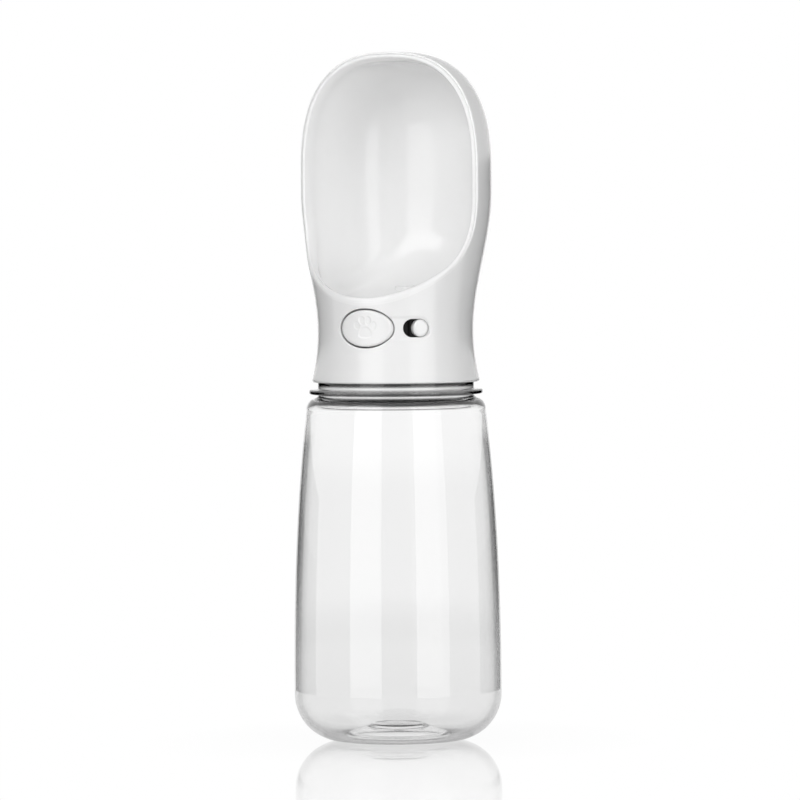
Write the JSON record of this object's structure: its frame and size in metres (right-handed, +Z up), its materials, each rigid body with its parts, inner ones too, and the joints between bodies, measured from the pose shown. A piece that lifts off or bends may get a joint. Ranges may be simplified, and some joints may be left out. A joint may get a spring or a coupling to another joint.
{
  "type": "dog travel water bottle",
  "caption": "Clear travel water bottle with a screw-on head that holds a scooped drinking dish, a push button valve and a slide lock.",
  "frame": {"origin": "centre of the bottle's base, on the bottle's axis, at the height of the surface it stands on", "axes": "+Z up along the bottle, -Y the front that the dish and the button face, +X the side that the lock is on"},
  "size_m": [0.079, 0.079, 0.2623],
  "materials": {
    "clear_plastic": "clear moulded plastic, smooth and glossy",
    "white_plastic": "glossy white moulded plastic",
    "inner_plastic": "satin off-white moulded plastic",
    "black_plastic": "satin black moulded plastic",
    "silicone": "soft translucent silicone",
    "steel": "stainless steel"
  },
  "bodies": {
    "bottle_body": {"bottle": "clear_plastic"},
    "gasket_body": {"neck_gasket": "silicone"},
    "head_body": {"head_shell": "white_plastic", "drinking_dish": "white_plastic", "head_base": "inner_plastic", "water_chamber": "inner_plastic", "chamber_seal": "silicone", "outlet_spout": "inner_plastic", "outlet_seal": "silicone", "rod_seal": "silicone", "button_spring": "steel", "valve_spring": "steel", "stem_guide": "inner_plastic", "lock_guide": "black_plastic"},
    "button_body": {"dispense_button": "white_plastic", "push_rod": "steel"},
    "valve_body": {"valve_stem": "steel", "valve_seal": "silicone", "valve_retainer": "inner_plastic"},
    "lock_body": {"lock_knob": "white_plastic", "lock_slide": "black_plastic"}
  },
  "joints": [
    {"name": "head_lift", "type": "slide", "parent": "bottle_body", "child": "gasket_body", "axis": [0, 0, 1], "range_m": [0, 0.006]},
    {"name": "head_turn", "type": "hinge", "parent": "gasket_body", "child": "head_body", "pos_m": [0, 0, 0.147], "axis": [0, 0, 1], "range_deg": [0, 540]},
    {"name": "button_press", "type": "slide", "parent": "head_body", "child": "button_body", "axis": [0, 1, 0], "range_m": [0, 0.0025], "stiffness_N_per_m": 250, "springref_m": -0.002, "deforming": ["button_spring"]},
    {"name": "valve_open", "type": "slide", "parent": "head_body", "child": "valve_body", "axis": [0, 0, -1], "range_m": [0, 0.0025], "stiffness_N_per_m": 200, "springref_m": -0.002, "deforming": ["valve_spring"]},
    {"name": "lock_slide", "type": "slide", "parent": "head_body", "child": "lock_body", "axis": [0.7826, 0.6225, 0], "range_m": [-0.0034, 0]}
  ],
  "couplings": [
    {"joint": "head_lift", "follows": "head_turn", "m_per_rad": 0.0006365},
    {"joint": "valve_open", "follows": "button_press", "ratio": 1}
  ]
}
